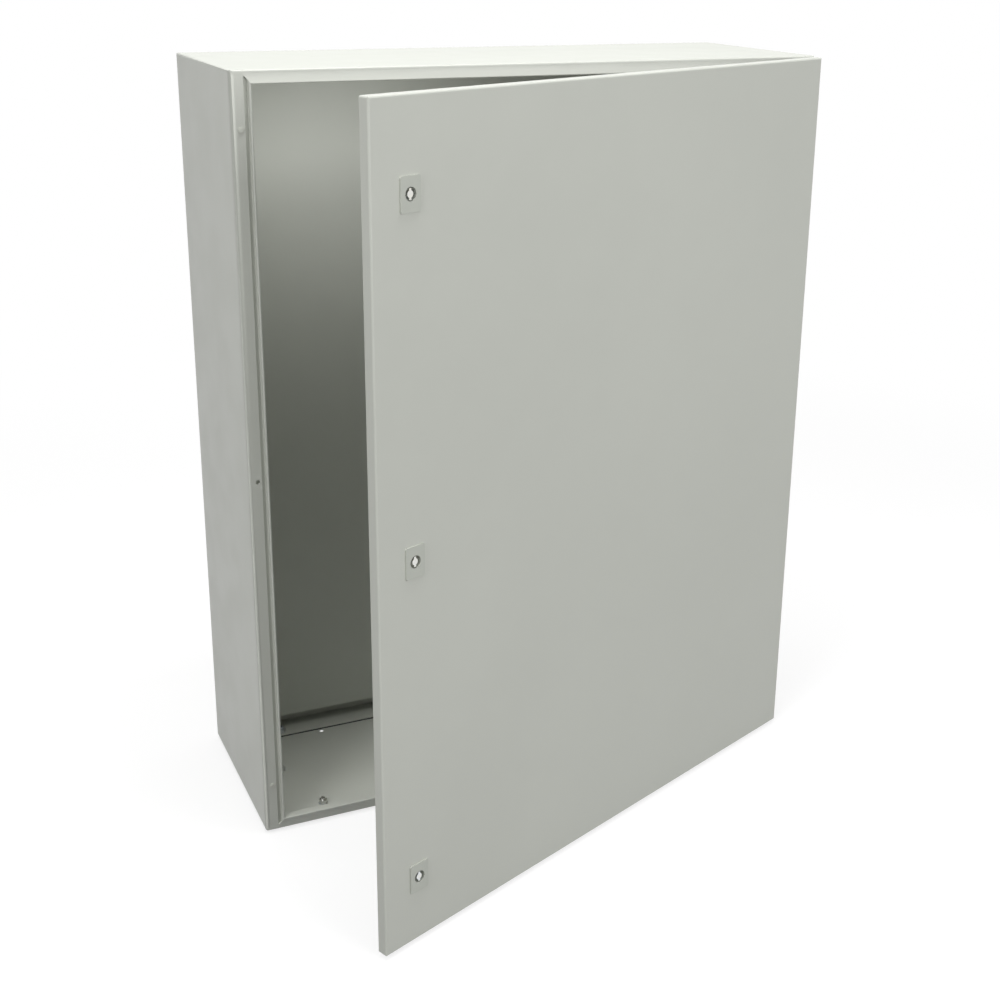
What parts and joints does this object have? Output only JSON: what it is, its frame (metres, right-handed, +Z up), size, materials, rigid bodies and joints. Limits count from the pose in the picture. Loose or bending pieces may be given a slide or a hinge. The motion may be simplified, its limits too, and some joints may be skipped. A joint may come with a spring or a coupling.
{
  "type": "steel wall enclosure",
  "caption": "Sheet-steel wall cabinet with a lipped, sealed front, a hinged door standing ajar and quarter-turn locks down its free edge.",
  "frame": {"origin": "centre of the four wall-fixing holes, on the rear face", "axes": "+Y towards the wall behind, so the front faces -Y; +X to the right seen from the front; +Z up"},
  "size_m": [0.8003, 0.5936, 1.0035],
  "materials": {
    "grey_paint": "semi-gloss powder coat, light warm grey, slight orange peel",
    "lock_paint": "semi-gloss powder coat over die-cast zinc",
    "seal_foam": "matt foamed polyurethane",
    "galvanised_sheet": "hot-dip galvanised, satin",
    "zinc_plate": "bright zinc plate",
    "bright_steel": "turned bright steel",
    "die_cast_zinc": "bare die-cast zinc, satin"
  },
  "bodies": {
    "cabinet": {"body_shell": "grey_paint", "rear_panel": "grey_paint", "plate_studs": "zinc_plate", "rim_plugs": "grey_paint", "gland_plate": "grey_paint", "gland_plate_studs": "zinc_plate", "gland_seal": "seal_foam", "gland_nuts": "zinc_plate", "body_earth_stud": "zinc_plate", "body_earth_nuts": "zinc_plate", "hinge_body_leaf_low": "die_cast_zinc", "hinge_body_leaf_mid": "die_cast_zinc", "hinge_body_leaf_top": "die_cast_zinc", "hinge_screws": "zinc_plate", "hinge_pin_low": "bright_steel", "hinge_pin_mid": "bright_steel", "hinge_pin_top": "bright_steel"},
    "door": {"door_panel": "grey_paint", "door_seal": "seal_foam", "door_rail_free": "galvanised_sheet", "door_rail_hinge": "galvanised_sheet", "door_studs": "zinc_plate", "rail_nuts": "zinc_plate", "door_earth_nuts": "zinc_plate", "hinge_door_leaf_low": "die_cast_zinc", "hinge_door_leaf_mid": "die_cast_zinc", "hinge_door_leaf_top": "die_cast_zinc", "hinge_nuts": "zinc_plate", "lock_housing_low": "lock_paint", "lock_housing_mid": "lock_paint", "lock_housing_top": "lock_paint", "lock_seal_low": "seal_foam", "lock_seal_mid": "seal_foam", "lock_seal_top": "seal_foam", "lock_nut_low": "zinc_plate", "lock_nut_mid": "zinc_plate", "lock_nut_top": "zinc_plate"},
    "lock_low": {"lock_insert_low": "die_cast_zinc", "lock_cam_low": "zinc_plate", "lock_cam_screw_low": "zinc_plate"},
    "lock_mid": {"lock_insert_mid": "die_cast_zinc", "lock_cam_mid": "zinc_plate", "lock_cam_screw_mid": "zinc_plate"},
    "lock_top": {"lock_insert_top": "die_cast_zinc", "lock_cam_top": "zinc_plate", "lock_cam_screw_top": "zinc_plate"}
  },
  "joints": [
    {"name": "door_hinge", "type": "hinge", "parent": "cabinet", "child": "door", "pos_m": [0.3935, -0.2915, 0], "axis": [0, 0, 1], "range_deg": [-22, 98]},
    {"name": "lock_low_turn", "type": "hinge", "parent": "door", "child": "lock_low", "pos_m": [-0.28972, -0.57455, -0.412], "axis": [-0.3746, 0.9272, 0], "range_deg": [0, 90]},
    {"name": "lock_mid_turn", "type": "hinge", "parent": "door", "child": "lock_mid", "pos_m": [-0.28972, -0.57455, -0.007], "axis": [-0.3746, 0.9272, 0], "range_deg": [0, 90]},
    {"name": "lock_top_turn", "type": "hinge", "parent": "door", "child": "lock_top", "pos_m": [-0.28972, -0.57455, 0.398], "axis": [-0.3746, 0.9272, 0], "range_deg": [0, 90]}
  ]
}
